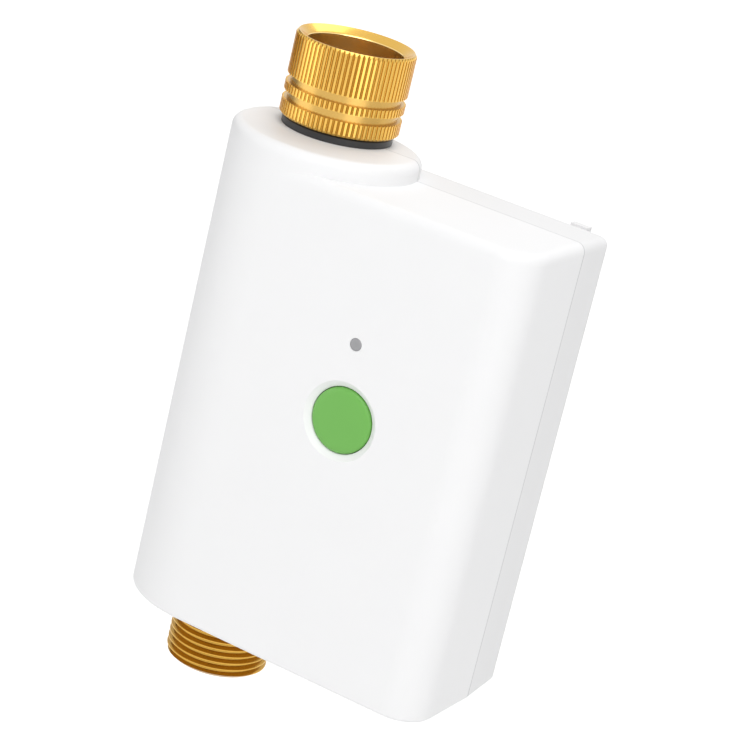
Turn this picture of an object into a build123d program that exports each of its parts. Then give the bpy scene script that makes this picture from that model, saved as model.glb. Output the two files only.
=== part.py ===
from build123d import *
import math
import os

os.makedirs("parts", exist_ok=True)

# The hose axis is x = y = 0 and z = 0 is the first thread inside the inlet nut, so all else hangs below.
# The front, with the button, faces -Y, and the battery side is to the right, +X. Lengths are in mm.

# Case
case_front = 28.3
case_left = 22.7
column_right = 25.3
box_drop = 4.8
wall = 2.2
corner_radius = 9.0
rear_corner_radius = 3.0
top_fillet = 2.4
bottom_fillet = 1.0
inner_fillet = 0.4
draft = 3.0
parting_y = 0.0
lip_length = 1.5
lip_gap = 0.1
lip_ledge = 0.1
seal_height = 0.8
rib_thickness = 2.0
rib_spacing = 36.0
post_root = 0.5

# Pipe threads of size 3/4, drawn as rings at the true pitch
thread_pitch = 1.814
thread_major = 13.22
thread_depth = 1.16
thread_flat = 0.3
inlet_turns = 6
outlet_reach = 19.2
outlet_turns = 10
outlet_chamfer = 1.0
thread_drop = 1.3
thread_neck = 12.7

# Inlet nut, collar and what the nut clamps
nut_relief_gap = 0.18
nut_groove_wall = 0.4
nut_groove_depth = 1.2
nut_groove_width = 2.1
nut_foot_band = 3.8
nut_middle_band = 2.0
nut_teeth = 76
nut_tooth_depth = 0.45
nut_crest_share = 0.4
nut_flank_share = 0.15
nut_top_chamfer = 1.2
nut_foot_chamfer = 0.6
nut_lip = 3.2
mouth_chamfer = 0.8
collar_height = 2.2
collar_wall = 1.65
collar_lip = 1.5
collar_chamfer = 0.4
collar_foot = 1.0
flange_height = 2.4
flange_gap = 0.5
washer_height = 2.5
washer_bore_gap = 0.4
washer_chamfer = 0.3
filter_thickness = 0.5
filter_hole = 0.7
filter_pitch = 1.9
filter_rows = 7
filter_room = 0.266

# Waterway
pipe_bore = 8.0
tail_wall = 2.6
neck_wall = 3.6
plug_wall = 3.5
body_wall = 2.5
body_room = 0.6
body_length = 48.0
valve_drop = 62.0
shoulder_height = 3.0
outlet_flange_width = 1.13
outlet_flange_height = 3.0
outlet_seal_height = 1.0
outlet_hole_gap = 0.4
o_ring = 0.95
o_ring_slack = 0.4
o_ring_inset = 5.0
ball_overlap = 1.0
ball_room = 0.6
ball_end_room = 1.0
ball_bore = 5.5
seat_bore_gap = 0.3
seat_height = 4.2
pad_size = 20.0
pad_rise = 2.5
stem_radius = 3.5
stem_collar_width = 1.5
stem_collar_height = 1.5
stem_collar_sink = 0.2
stem_step = 1.0
stem_flat_depth = 0.7
stem_shoulder = 0.5
stem_ring = 0.45
stem_ring_slack = 0.2
stem_ring_margin = 0.8
stem_ring_pitch = 2.2
tang_width = 2.9
tang_inset = 0.8
slot_depth = 2.4
tang_end_gap = 0.1

# Gear train and motor
plate_thickness = 1.8
gearbox_wall = 1.5
gearbox_corner = 4.0
gearbox_room = 1.09
gear_room = 0.7
gear_end_room = 0.6
cover_skin = 0.4
fine_module = 0.5
coarse_module = 0.6
pinion_teeth = 12
wheel_teeth = 36
addendum = 0.85
dedendum = 1.25
pressure_angle = 20.0
backlash = 0.08
mesh_gap = 0.08
output_width = 4.0
wheel_width = 2.8
layer_gap = 0.4
compound_angle = -110.0
pinion_angle = -120.0
axle_radius = 1.0
motor_shaft_radius = 1.5
motor_shaft_room = 0.6
motor_depth = 10.0
motor_height = 12.0
motor_end_fillet = 0.6
gear_head_length = 9.0
motor_length = 15.0

# Battery bay: four AA cells in two columns
cell_radius = 7.1
cell_length = 49.3
nub_radius = 2.6
nub_height = 1.2
cell_gap = 0.3
bay_distance = 6.52
tray_wall = 1.2
tray_floor = 1.4
tray_side_gap = 4.1
tray_end_room = 5.075
tray_corner = 1.0
contact_thickness = 0.5
contact_inset = 1.0
contact_tab = 3.0
contact_tab_reach = 1.2
spring_height = 5.4
spring_wire = 0.35
spring_inset = 1.6
spring_turns = 4
spring_steps = 14
spring_cone = 25.0
door_thickness = 0.9
door_margin = 1.6
door_corner = 2.0
door_edge = 0.4
door_rim = 1.2
door_rim_depth = 1.9
door_gasket = 0.55
door_gasket_inset = 0.2
lug_width = 4.8
lug_inset = 4.6
lug_reach = 2.4
lug_rise = 0.5

# Board and what it carries
board_thickness = 1.6
board_corner = 2.0
board_rib_gap = 0.5
board_side_room = 5.5
board_top_drop = 17.0
board_bottom_drop = 88.0
board_hole_inset = 4.5
switch_size = 6.0
switch_height = 3.4
switch_corner = 0.5
switch_clear = 0.7
plunger_radius = 1.7
plunger_length = 1.5
led_width = 3.2
led_length = 1.6
led_height = 1.1
led_gap = 0.2
radio_x = 51.0
radio_drop = 12.0
radio_width = 16.0
radio_length = 20.0
radio_thickness = 0.8
radio_can_inset = 1.0
radio_can_height = 2.2
radio_aerial = 5.5
capacitor_x = 38.0
capacitor_drop = 51.0
capacitor_radius = 4.0
capacitor_height = 11.0
capacitor_fillet = 0.5
plug_width = 6.0
plug_length = 5.0
plug_depth = 4.5
motor_plug_x = 58.0
motor_plug_drop = 56.0
battery_plug_x = 46.0
battery_plug_drop = 30.0
lead_radius = 0.5
lead_bend = 2.2
lead_spread = 1.0
motor_lead_spread = 1.5
battery_lead_reach = 6.0

# Button and light pipe
button_x = 33.4
button_drop = 58.8
button_radius = 8.15
button_recess = 0.6
button_edge = 0.5
button_dish_width = 1.75
button_dish_depth = 1.3
button_flange_width = 1.35
button_flange_height = 0.8
button_travel = 0.6
button_seal_height = 0.55
sleeve_wall = 1.2
sleeve_length = 2.6
light_x = 33.0
light_drop = 39.3
light_radius = 1.55
light_edge = 0.3
light_flange_width = 0.85
light_flange_height = 0.8
light_proud = 0.15

# Fasteners
case_screw_radius = 1.4
case_screw_head = 2.6
case_screw_head_height = 2.0
case_screw_seat = 4.0
case_screw_depth = 13.0
case_screw_tip_gap = 1.0
case_post_wall = 1.4
case_well_wall = 1.3
case_well_gap = 0.3
well_tray_gap = 0.4
well_neck_gap = 0.7
left_screw_drop = 24.0
left_screw_rise = 17.0
right_screw_drop = 8.2
right_screw_rise = 8.3
recess_length = 3.0
recess_width = 0.7
recess_depth = 0.9
small_screw_radius = 1.0
small_screw_head = 1.9
small_screw_head_height = 1.4
small_screw_tip_gap = 0.5
board_post_wall = 1.4
cover_screw_inset = 3.3
cover_post_wall = 1.2
cover_hole_gap = 0.1
pilot_skin = 0.3
pilot_floor = 1.0
pad_screw_radius = 1.2
pad_screw_head = 2.5
pad_screw_inset = 3.0
pad_screw_length = 6.0
motor_screw_radius = 0.75
motor_screw_head = 1.45
motor_screw_head_height = 0.8
motor_screw_inset = 1.5
motor_screw_reach = 2.5
sink_gap = 0.05

# Clearances
fit_gap = 0.15
running_gap = 0.05
slide_gap = 0.2
press_gap = 0.02
far = 200.0
past = 1.0

# Radii that follow: the pipe's bore sets the ball, the valve body and the case's depth
thread_minor = thread_major - thread_depth
nut_relief = thread_major + nut_relief_gap
nut_radius = nut_relief + nut_groove_wall + nut_groove_depth
flange_radius = nut_relief - flange_gap
tail_radius = pipe_bore + tail_wall
collar_neck = tail_radius + fit_gap + collar_wall
collar_radius = collar_neck + collar_lip
outlet_neck = pipe_bore + neck_wall
outlet_flange = thread_major + outlet_flange_width
outlet_hole = thread_major + outlet_hole_gap
socket_radius = pipe_bore + plug_wall
body_radius = socket_radius + body_wall
ball_radius = pipe_bore + ball_overlap
chamber_radius = ball_radius + ball_room
chamber_length = 2 * (ball_radius + ball_end_room)
seat_bore = ball_bore + seat_bore_gap
pad_reach = body_radius + pad_rise
stem_collar = stem_radius + stem_collar_width
stem_drive = stem_radius - stem_step
stem_journal = stem_drive - stem_step
stem_flat = stem_drive - stem_flat_depth
tang_height = 2 * (stem_collar - tang_inset)
output_tip = coarse_module * (wheel_teeth / 2 + addendum)
wheel_tip = fine_module * (wheel_teeth / 2 + addendum)
gearbox_rear = output_tip + gear_room + gearbox_wall
button_flange = button_radius + button_flange_width
button_dish = button_radius + button_dish_width
light_flange = light_radius + light_flange_width
case_post = case_screw_radius + case_post_wall
board_post = small_screw_radius + board_post_wall
well_radius = case_screw_head + case_well_gap

# The case is as deep as the valve body and the gearbox need, and as wide and high as the battery tray needs
case_rear = max(body_radius + body_room, gearbox_rear + gearbox_room) + wall
draft_drop = case_rear * math.tan(math.radians(draft))
base_x = pad_reach
cover_x = base_x + plate_thickness
output_x = cover_x + gear_room
wheel_x = output_x + output_width + layer_gap
cover_end = wheel_x + wheel_width + gear_end_room + gearbox_wall
tray_width = 4 * cell_radius + 3 * cell_gap + 2 * tray_wall
tray_left = cover_end + bay_distance
tray_right = tray_left + tray_width
case_right = tray_right + tray_side_gap + draft_drop
stack_length = 2 * (cell_length + nub_height) + running_gap + spring_height
tray_length = stack_length + 2 * contact_thickness + 2 * tray_wall
case_height = box_drop + tray_length + 2 * tray_end_room

# Levels, from the nut's mouth down to the outlet
relief_height = fit_gap + flange_height + washer_height + filter_thickness + filter_room
thread_end = -inlet_turns * thread_pitch
nut_top = mouth_chamfer
nut_bottom = thread_end - relief_height - nut_lip
nut_height = nut_top - nut_bottom
flange_bottom = nut_bottom + nut_lip + fit_gap
flange_top = flange_bottom + flange_height
washer_top = flange_top + washer_height
column_top = nut_bottom - collar_height
box_top = column_top - box_drop
case_bottom = column_top - case_height
case_floor = case_bottom + wall
outlet_end = case_bottom - outlet_reach
seal_top = case_floor + outlet_seal_height
thread_start = case_bottom - thread_drop
valve_z = column_top - valve_drop
body_top = valve_z + body_length / 2
body_bottom = valve_z - body_length / 2
chamber_top = valve_z + chamber_length / 2
chamber_bottom = valve_z - chamber_length / 2
button_z = column_top - button_drop
light_z = column_top - light_drop
board_top = column_top - board_top_drop
board_bottom = column_top - board_bottom_drop
tray_top = (box_top + case_bottom + tray_length) / 2
tray_bottom = tray_top - tray_length
tray_z = (tray_top + tray_bottom) / 2

# Depths, from the front face to the rear
middle_y = (case_rear - case_front) / 2
half_depth = (case_rear + case_front) / 2
inner_front = -(case_front - wall)
inner_rear = case_rear - wall
flange_front = inner_front + button_seal_height + running_gap
cap_back = flange_front + button_flange_height
board_front = cap_back + switch_clear + switch_height
board_rear = board_front + board_thickness
lug_start = case_rear - wall + door_thickness

# Places across
plan_x = (column_right - case_left) / 2
plan_half = (column_right + case_left) / 2
tray_x = (tray_left + tray_right) / 2
lug_x = tray_right - lug_inset
board_left = pad_reach + board_rib_gap
board_right = case_right - board_side_room
left_screw_x = -(outlet_neck + well_neck_gap + well_radius + case_well_wall)
right_screw_x = tray_left - well_tray_gap - well_radius - case_well_wall

# Which way a piece reaches from the place it is put at
from_base = (Align.CENTER, Align.CENTER, Align.MIN)
rearward = (Align.CENTER, Align.MIN, Align.CENTER)
frontward = (Align.CENTER, Align.MAX, Align.CENTER)
rightward = (Align.MIN, Align.CENTER, Align.CENTER)


def to_rear(x, y, z):
    """A place whose own Z points to the rear, +Y."""
    return Location((x, y, z), (-90, 0, 0))


def to_right(x, y, z):
    """A place whose own Z points to the right, +X."""
    return Location((x, y, z), (0, 90, 0))


def turned(points):
    """A part turned about the hose axis from (radius, height) points."""
    with BuildPart() as piece:
        with BuildSketch(Plane.XZ):
            with BuildLine():
                Polyline(*points, close=True)
            make_face()
        revolve(axis=Axis.Z)
    return piece.part


def thread_points(crest, root, start, turns):
    """Profile of a thread's rings, going down from start: a crest, a flank, a root and a flank each turn."""
    flank = thread_pitch / 2 - thread_flat
    points = []
    for turn in range(turns):
        z = start - turn * thread_pitch
        points += [(crest, z), (crest, z - thread_flat)]
        points += [(root, z - thread_flat - flank), (root, z - 2 * thread_flat - flank)]
    return points


def finish(piece, name):
    """Label a finished piece and write it out under its own name."""
    piece.part.label = name
    export_step(piece.part, f"parts/{name}.step")


# Case halves: a box with a round hose column at its left end, parted on the hose axis
def case_plan(inset, boxy):
    """Plan of the round column, or of the column with the box that runs out to the right of it."""
    with BuildSketch() as plan:
        with Locations((plan_x, middle_y)):
            Ellipse(plan_half - inset, half_depth - inset)
        if boxy:
            with Locations((plan_x, middle_y)):
                Rectangle(far, 2 * (half_depth - inset), align=(Align.MIN, Align.CENTER))
    return plan.sketch


def front_block(inset, top, boxy):
    """Front half of the box or the column, inset from the outside by a wall."""
    low = case_bottom + inset
    with BuildPart() as block:
        with BuildSketch(Plane.XY.offset(low)):
            add(case_plan(inset, boxy))
            with Locations((case_right - inset, parting_y)):
                Rectangle(far, far, align=(Align.MAX, Align.MAX), mode=Mode.INTERSECT)
        extrude(amount=top - inset - low)
        if boxy:
            upright = block.edges().filter_by(Axis.Z).group_by(Axis.X)[-1].sort_by(Axis.Y)[0]
            fillet(upright, radius=corner_radius - inset)
        top_edges = block.edges().group_by(Axis.Z)[-1].filter_by(lambda e: e.center().Y < parting_y - 0.01)
        fillet(top_edges, radius=max(top_fillet - inset, inner_fillet))
        low_edges = block.edges().group_by(Axis.Z)[0].filter_by(lambda e: e.center().Y < parting_y - 0.01)
        fillet(low_edges, radius=max(bottom_fillet - inset, inner_fillet))
    return block.part


def rear_block(inset, top, boxy):
    """Rear half of the box or the column: its top, right side and bottom lean in by the draft."""
    low = case_bottom + inset
    high = top - inset
    right = case_right - inset if boxy else far
    with BuildPart() as block:
        with BuildSketch(Plane((0, parting_y, 0), x_dir=(1, 0, 0), z_dir=(0, 1, 0))):
            with Locations(((right - far) / 2, -(low + high) / 2)):
                Rectangle(right + far, high - low)
        extrude(amount=case_rear - inset - parting_y, taper=draft)
        with BuildSketch(Plane.XY.offset(low)):
            add(case_plan(inset, boxy))
        extrude(amount=high - low, mode=Mode.INTERSECT)
        if boxy:
            upright = block.edges().filter_by(Axis.Z).filter_by(lambda e: e.center().X > case_right / 2)
            fillet(upright.sort_by(Axis.Y)[-1], radius=max(rear_corner_radius - inset, inner_fillet))
        faces = block.faces().sort_by(Axis.Z)
        top_edges = faces[-1].edges().filter_by(lambda e: e.center().Y > parting_y + 0.01)
        fillet(top_edges, radius=max(top_fillet - inset, inner_fillet))
        faces = block.faces().sort_by(Axis.Z)
        low_edges = faces[0].edges().filter_by(lambda e: e.center().Y > parting_y + 0.01)
        fillet(low_edges, radius=max(bottom_fillet - inset, inner_fillet))
    return block.part


def front_body(inset):
    """Box and column of the front half, as one solid."""
    with BuildPart() as body:
        add(front_block(inset, box_top, True))
        add(front_block(inset, column_top, False))
    return body.part


def rear_body(inset):
    """Box and column of the rear half, as one solid."""
    with BuildPart() as body:
        add(rear_block(inset, box_top, True))
        add(rear_block(inset, column_top, False))
    return body.part


def rim_ring(outside, inside, near, depth):
    """A ring that follows the case's rim, from near to near + depth behind the parting plane."""
    with BuildPart() as ring:
        add(outside)
        add(inside, mode=Mode.SUBTRACT)
        with Locations((0, parting_y + near, 0)):
            Box(2 * far, depth, 2 * far, align=rearward, mode=Mode.INTERSECT)
        with Locations((0, 0, -far)):
            Cylinder(body_radius + wall, 2 * far, align=from_base, mode=Mode.SUBTRACT)
    return ring.part


def rods_inside(points, radius, start_y, end_y, body):
    """Round posts along Y at (x, z) points, cut off where they leave the given body."""
    with BuildPart() as rods:
        with Locations(*[to_rear(x, start_y, z) for x, z in points]):
            Cylinder(radius, end_y - start_y, align=from_base)
        add(body, mode=Mode.INTERSECT)
    return rods.part


def cradle(body, start_y, end_y):
    """Two ribs across the column that hold the valve body."""
    with BuildPart() as ribs:
        for z in (valve_z - rib_spacing / 2, valve_z + rib_spacing / 2):
            with Locations((pad_reach - slide_gap, (start_y + end_y) / 2, z)):
                Box(far, end_y - start_y, rib_thickness, align=(Align.MAX, Align.CENTER, Align.CENTER))
        add(body, mode=Mode.INTERSECT)
        with Locations((0, 0, valve_z)):
            Cylinder(body_radius + fit_gap, far, mode=Mode.SUBTRACT)
    return ribs.part


collar_hole = collar_neck + fit_gap
case_screw_points = [
    (left_screw_x, column_top - left_screw_drop),
    (left_screw_x, case_bottom + left_screw_rise),
    (right_screw_x, box_top - right_screw_drop),
    (right_screw_x, case_bottom + right_screw_rise),
]
board_points = [
    (x, z)
    for x in (board_left + board_hole_inset, board_right - board_hole_inset)
    for z in (board_top - board_hole_inset, board_bottom + board_hole_inset)
]
bay_width = tray_width - 2 * tray_wall
bay_length = tray_length - 2 * tray_wall
gasket_width = bay_width + 2 * (door_margin - door_gasket_inset)
gasket_length = bay_length + 2 * (door_margin - door_gasket_inset)
lug_tips = ((box_top - draft_drop + lug_rise, 1), (case_bottom + draft_drop - lug_rise, -1))
rim_middle = wall / 2

front_outer = front_body(0)
front_middle = front_body(rim_middle)
rear_outer = rear_body(0)
rear_middle = rear_body(rim_middle)
rear_lip = rear_body(rim_middle + lip_gap)
rear_inner = rear_body(wall)
lip_inner = rear_body(wall - lip_ledge)

with BuildPart() as front_shell:
    add(front_outer)
    add(front_body(wall), mode=Mode.SUBTRACT)
    add(rim_ring(rear_lip, lip_inner, 0, lip_length))
    add(cradle(front_middle, -case_front, parting_y))
    add(rods_inside(case_screw_points, case_post, inner_front - post_root, parting_y, front_outer))
    add(rods_inside(board_points, board_post, inner_front - post_root, board_front, front_outer))
    with Locations(to_rear(button_x, inner_front - post_root, button_z)):
        Cylinder(button_flange + slide_gap + sleeve_wall, sleeve_length + post_root, align=from_base)
    with Locations(to_rear(button_x, inner_front, button_z)):
        Cylinder(button_flange + slide_gap, far, align=from_base, mode=Mode.SUBTRACT)
    with Locations(to_rear(button_x, -case_front, button_z)):
        Cylinder(button_radius + slide_gap, far, align=from_base, mode=Mode.SUBTRACT)
        Cone(button_dish, button_radius + slide_gap, button_dish_depth, align=from_base, mode=Mode.SUBTRACT)
    with Locations(to_rear(light_x, -far, light_z)):
        Cylinder(light_radius + running_gap, 2 * far, align=from_base, mode=Mode.SUBTRACT)
    with Locations((0, 0, column_top)):
        Cylinder(collar_hole, 4 * wall, mode=Mode.SUBTRACT)
    with Locations((0, 0, case_bottom)):
        Cylinder(outlet_hole, 4 * wall, mode=Mode.SUBTRACT)
    with Locations(*[to_rear(x, -case_screw_depth, z) for x, z in case_screw_points]):
        Cylinder(case_screw_radius, case_screw_depth + far, align=from_base, mode=Mode.SUBTRACT)
    with Locations(*[to_rear(x, inner_front + pilot_floor, z) for x, z in board_points]):
        Cylinder(small_screw_radius, far, align=from_base, mode=Mode.SUBTRACT)
finish(front_shell, "front_shell")

with BuildPart() as rear_shell:
    add(rear_outer)
    add(rear_inner, mode=Mode.SUBTRACT)
    add(cradle(rear_middle, parting_y, case_rear))
    add(rods_inside(case_screw_points, well_radius + case_well_wall, parting_y, case_rear, rear_outer))
    add(rim_ring(rear_middle, rear_inner, 0, lip_length + lip_gap + seal_height), mode=Mode.SUBTRACT)
    with Locations(*[to_rear(x, parting_y, z) for x, z in case_screw_points]):
        Cylinder(case_screw_radius + fit_gap, far, align=from_base, mode=Mode.SUBTRACT)
    with Locations(*[to_rear(x, case_screw_seat, z) for x, z in case_screw_points]):
        Cylinder(well_radius, far, align=from_base, mode=Mode.SUBTRACT)
    with Locations((0, 0, column_top)):
        Cylinder(collar_hole, 4 * wall, mode=Mode.SUBTRACT)
    with Locations((0, 0, case_bottom)):
        Cylinder(outlet_hole, 4 * wall, mode=Mode.SUBTRACT)
    with Locations((0, 0, case_floor)):
        Cylinder(outlet_flange + running_gap, 4 * wall, align=from_base, mode=Mode.SUBTRACT)
    with Locations((tray_x, inner_rear, tray_z)):
        Box(bay_width, 4 * wall, bay_length, mode=Mode.SUBTRACT)
    with Locations((tray_x, case_rear - door_gasket - running_gap, tray_z)):
        Box(gasket_width, wall, gasket_length, align=rearward, mode=Mode.SUBTRACT)
    for tip, side in lug_tips:
        with Locations((lug_x, lug_start - slide_gap, tip - side * (lug_reach + slide_gap))):
            Box(lug_width + 2 * slide_gap, far, far,
                align=(Align.CENTER, Align.MIN, Align.MIN if side > 0 else Align.MAX), mode=Mode.SUBTRACT)
finish(rear_shell, "rear_shell")

with BuildPart() as case_seal:
    add(rim_ring(rear_lip, rear_inner, lip_length + lip_gap, seal_height))
finish(case_seal, "case_seal")

with BuildPart() as case_screws:
    with Locations(*[to_rear(x, case_screw_seat, z) for x, z in case_screw_points]):
        Cylinder(case_screw_head, case_screw_head_height, align=from_base)
    tip_y = case_screw_tip_gap - case_screw_depth
    with Locations(*[to_rear(x, tip_y, z) for x, z in case_screw_points]):
        Cylinder(case_screw_radius, case_screw_seat - tip_y, align=from_base)
    recess_y = case_screw_seat + case_screw_head_height - recess_depth
    with Locations(*[(x, recess_y, z) for x, z in case_screw_points]):
        Box(recess_length, far, recess_width, align=rearward, mode=Mode.SUBTRACT)
        Box(recess_width, far, recess_length, align=rearward, mode=Mode.SUBTRACT)
finish(case_screws, "case_screws")

# Inlet: knurled nut that turns freely on the tailpiece, washer, filter and the collar in the case top
with BuildPart() as inlet_nut:
    with BuildSketch(Plane.XY.offset(nut_bottom)):
        with BuildLine():
            rim_points = []
            for tooth in range(nut_teeth):
                for step, radius in ((0, nut_radius), (nut_crest_share, nut_radius),
                                     (nut_crest_share + nut_flank_share, nut_radius - nut_tooth_depth),
                                     (1 - nut_flank_share, nut_radius - nut_tooth_depth)):
                    angle = 2 * math.pi * (tooth + step) / nut_teeth
                    rim_points.append((radius * math.cos(angle), radius * math.sin(angle)))
            Polyline(*rim_points, close=True)
        make_face()
    extrude(amount=nut_height)
    outside = nut_radius + past
    add(turned([(nut_radius - nut_top_chamfer, nut_top + past), (nut_radius - nut_top_chamfer, nut_top),
                (nut_radius, nut_top - nut_top_chamfer), (outside, nut_top - nut_top_chamfer),
                (outside, nut_top + past)]), mode=Mode.SUBTRACT)
    add(turned([(outside, nut_bottom - past), (outside, nut_bottom + nut_foot_chamfer),
                (nut_radius, nut_bottom + nut_foot_chamfer), (nut_radius - nut_foot_chamfer, nut_bottom),
                (nut_radius - nut_foot_chamfer, nut_bottom - past)]), mode=Mode.SUBTRACT)
    low_groove = nut_bottom + nut_foot_band
    for groove in (low_groove, low_groove + nut_groove_width + nut_middle_band):
        with BuildSketch(Plane.XY.offset(groove)):
            Circle(outside)
            Circle(nut_radius - nut_groove_depth, mode=Mode.SUBTRACT)
        extrude(amount=nut_groove_width, mode=Mode.SUBTRACT)
    bore_points = [(0, nut_top), (thread_minor + mouth_chamfer, nut_top)]
    bore_points += thread_points(thread_minor, thread_major, 0, inlet_turns)
    bore_points += [(nut_relief, thread_end), (nut_relief, nut_bottom + nut_lip),
                    (tail_radius + 2 * fit_gap, nut_bottom + nut_lip),
                    (tail_radius + 2 * fit_gap, nut_bottom), (0, nut_bottom)]
    add(turned(bore_points), mode=Mode.SUBTRACT)
finish(inlet_nut, "inlet_nut")

with BuildPart() as inlet_washer:
    with BuildSketch(Plane.XY.offset(flange_top)):
        Circle(flange_radius)
        Circle(pipe_bore + washer_bore_gap, mode=Mode.SUBTRACT)
    extrude(amount=washer_height)
    chamfer(inlet_washer.edges().filter_by(GeomType.CIRCLE), length=washer_chamfer)
finish(inlet_washer, "inlet_washer")

with BuildPart() as inlet_filter:
    with BuildSketch(Plane.XY.offset(washer_top)):
        Circle(flange_radius)
        with HexLocations(filter_pitch / 2, filter_rows, filter_rows):
            Circle(filter_hole, mode=Mode.SUBTRACT)
    extrude(amount=filter_thickness)
finish(inlet_filter, "inlet_filter")

with BuildPart() as inlet_collar:
    collar_top = nut_bottom - fit_gap
    collar_end = column_top - wall - collar_foot
    add(turned([(tail_radius + fit_gap, collar_top), (collar_radius - collar_chamfer, collar_top),
                (collar_radius, collar_top - collar_chamfer), (collar_radius, column_top),
                (collar_neck, column_top), (collar_neck, collar_end), (tail_radius + fit_gap, collar_end)]))
finish(inlet_collar, "inlet_collar")

# Waterway: tailpiece and outlet tube plug into the valve body and hold the ball between two seats
plug_radius = socket_radius - running_gap
groove_floor = plug_radius - 2 * o_ring
groove_width = 2 * o_ring + o_ring_slack
top_groove = body_top - o_ring_inset
bottom_groove = body_bottom + o_ring_inset

with BuildPart() as inlet_tailpiece:
    add(turned([
        (pipe_bore, chamber_top), (plug_radius, chamber_top), (plug_radius, top_groove - groove_width / 2),
        (groove_floor, top_groove - groove_width / 2), (groove_floor, top_groove + groove_width / 2),
        (plug_radius, top_groove + groove_width / 2), (plug_radius, body_top), (body_radius, body_top),
        (body_radius, body_top + shoulder_height), (tail_radius, body_top + shoulder_height),
        (tail_radius, flange_bottom), (flange_radius, flange_bottom), (flange_radius, flange_top),
        (pipe_bore, flange_top)]))
finish(inlet_tailpiece, "inlet_tailpiece")

with BuildPart() as outlet_tube:
    male_points = [
        (pipe_bore, chamber_bottom), (plug_radius, chamber_bottom),
        (plug_radius, bottom_groove + groove_width / 2), (groove_floor, bottom_groove + groove_width / 2),
        (groove_floor, bottom_groove - groove_width / 2), (plug_radius, bottom_groove - groove_width / 2),
        (plug_radius, body_bottom), (body_radius, body_bottom),
        (body_radius, body_bottom - shoulder_height), (outlet_neck, body_bottom - shoulder_height),
        (outlet_neck, seal_top + outlet_flange_height), (outlet_flange, seal_top + outlet_flange_height),
        (outlet_flange, seal_top), (thread_neck, seal_top), (thread_neck, thread_start)]
    male_points += thread_points(thread_major, thread_minor, thread_start, outlet_turns)
    male_points += [(thread_minor, outlet_end), (pipe_bore + outlet_chamfer, outlet_end),
                    (pipe_bore, outlet_end + outlet_chamfer)]
    add(turned(male_points))
finish(outlet_tube, "outlet_tube")

with BuildPart() as outlet_seal:
    with BuildSketch(Plane.XY.offset(case_floor)):
        Circle(outlet_flange - running_gap)
        Circle(thread_major + running_gap, mode=Mode.SUBTRACT)
    extrude(amount=seal_top - case_floor)
finish(outlet_seal, "outlet_seal")

collar_bore_end = chamber_radius + stem_collar_height - stem_collar_sink + running_gap
pad_screw_offset = pad_size / 2 - pad_screw_inset
pad_screw_points = [(side * pad_screw_offset, valve_z + side * pad_screw_offset) for side in (-1, 1)]
with BuildPart() as valve_body:
    with Locations((0, 0, body_bottom)):
        Cylinder(body_radius, body_length, align=from_base)
    with Locations((0, 0, valve_z)):
        Box(pad_reach, pad_size, pad_size, align=rightward)
        Cylinder(chamber_radius, chamber_length + past, mode=Mode.SUBTRACT)
    with Locations((0, 0, chamber_top)):
        Cylinder(socket_radius, far, align=from_base, mode=Mode.SUBTRACT)
    with Locations((0, 0, chamber_bottom)):
        Cylinder(socket_radius, far, align=(Align.CENTER, Align.CENTER, Align.MAX), mode=Mode.SUBTRACT)
    with Locations(to_right(0, 0, valve_z)):
        Cylinder(stem_collar + fit_gap, collar_bore_end, align=from_base, mode=Mode.SUBTRACT)
        Cylinder(stem_radius + running_gap, far, align=from_base, mode=Mode.SUBTRACT)
    with Locations(*[to_right(pad_reach - pad_screw_length - past, y, z) for y, z in pad_screw_points]):
        Cylinder(pad_screw_radius + running_gap, far, align=from_base, mode=Mode.SUBTRACT)
finish(valve_body, "valve_body")

with BuildPart() as joint_o_rings:
    with Locations((0, 0, top_groove), (0, 0, bottom_groove)):
        Torus(groove_floor + o_ring, o_ring)
finish(joint_o_rings, "joint_o_rings")

with BuildPart() as ball_seats:
    for side, edge in ((1, chamber_top), (-1, chamber_bottom)):
        with BuildSketch(Plane.XY.offset(edge)):
            Circle(chamber_radius - running_gap)
            Circle(seat_bore, mode=Mode.SUBTRACT)
        extrude(amount=-side * seat_height)
    with Locations((0, 0, valve_z)):
        Sphere(ball_radius + running_gap, mode=Mode.SUBTRACT)
finish(ball_seats, "ball_seats")

with BuildPart() as valve_ball:
    with Locations((0, 0, valve_z)):
        Sphere(ball_radius)
    with Locations(to_rear(0, -far / 2, valve_z)):
        Cylinder(ball_bore, far, align=from_base, mode=Mode.SUBTRACT)
    with Locations((ball_radius - slot_depth, 0, valve_z)):
        Box(far, tang_width + 2 * running_gap, far, align=rightward, mode=Mode.SUBTRACT)
finish(valve_ball, "valve_ball")

# Gear train: axes along X, in two layers beside the valve, at (y, z) centres one mesh apart
coarse_distance = coarse_module * (pinion_teeth + wheel_teeth) / 2 + mesh_gap
fine_distance = fine_module * (pinion_teeth + wheel_teeth) / 2 + mesh_gap
compound_y = coarse_distance * math.cos(math.radians(compound_angle))
compound_z = valve_z + coarse_distance * math.sin(math.radians(compound_angle))
motor_y = compound_y + fine_distance * math.cos(math.radians(pinion_angle))
motor_z = compound_z + fine_distance * math.sin(math.radians(pinion_angle))


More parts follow.
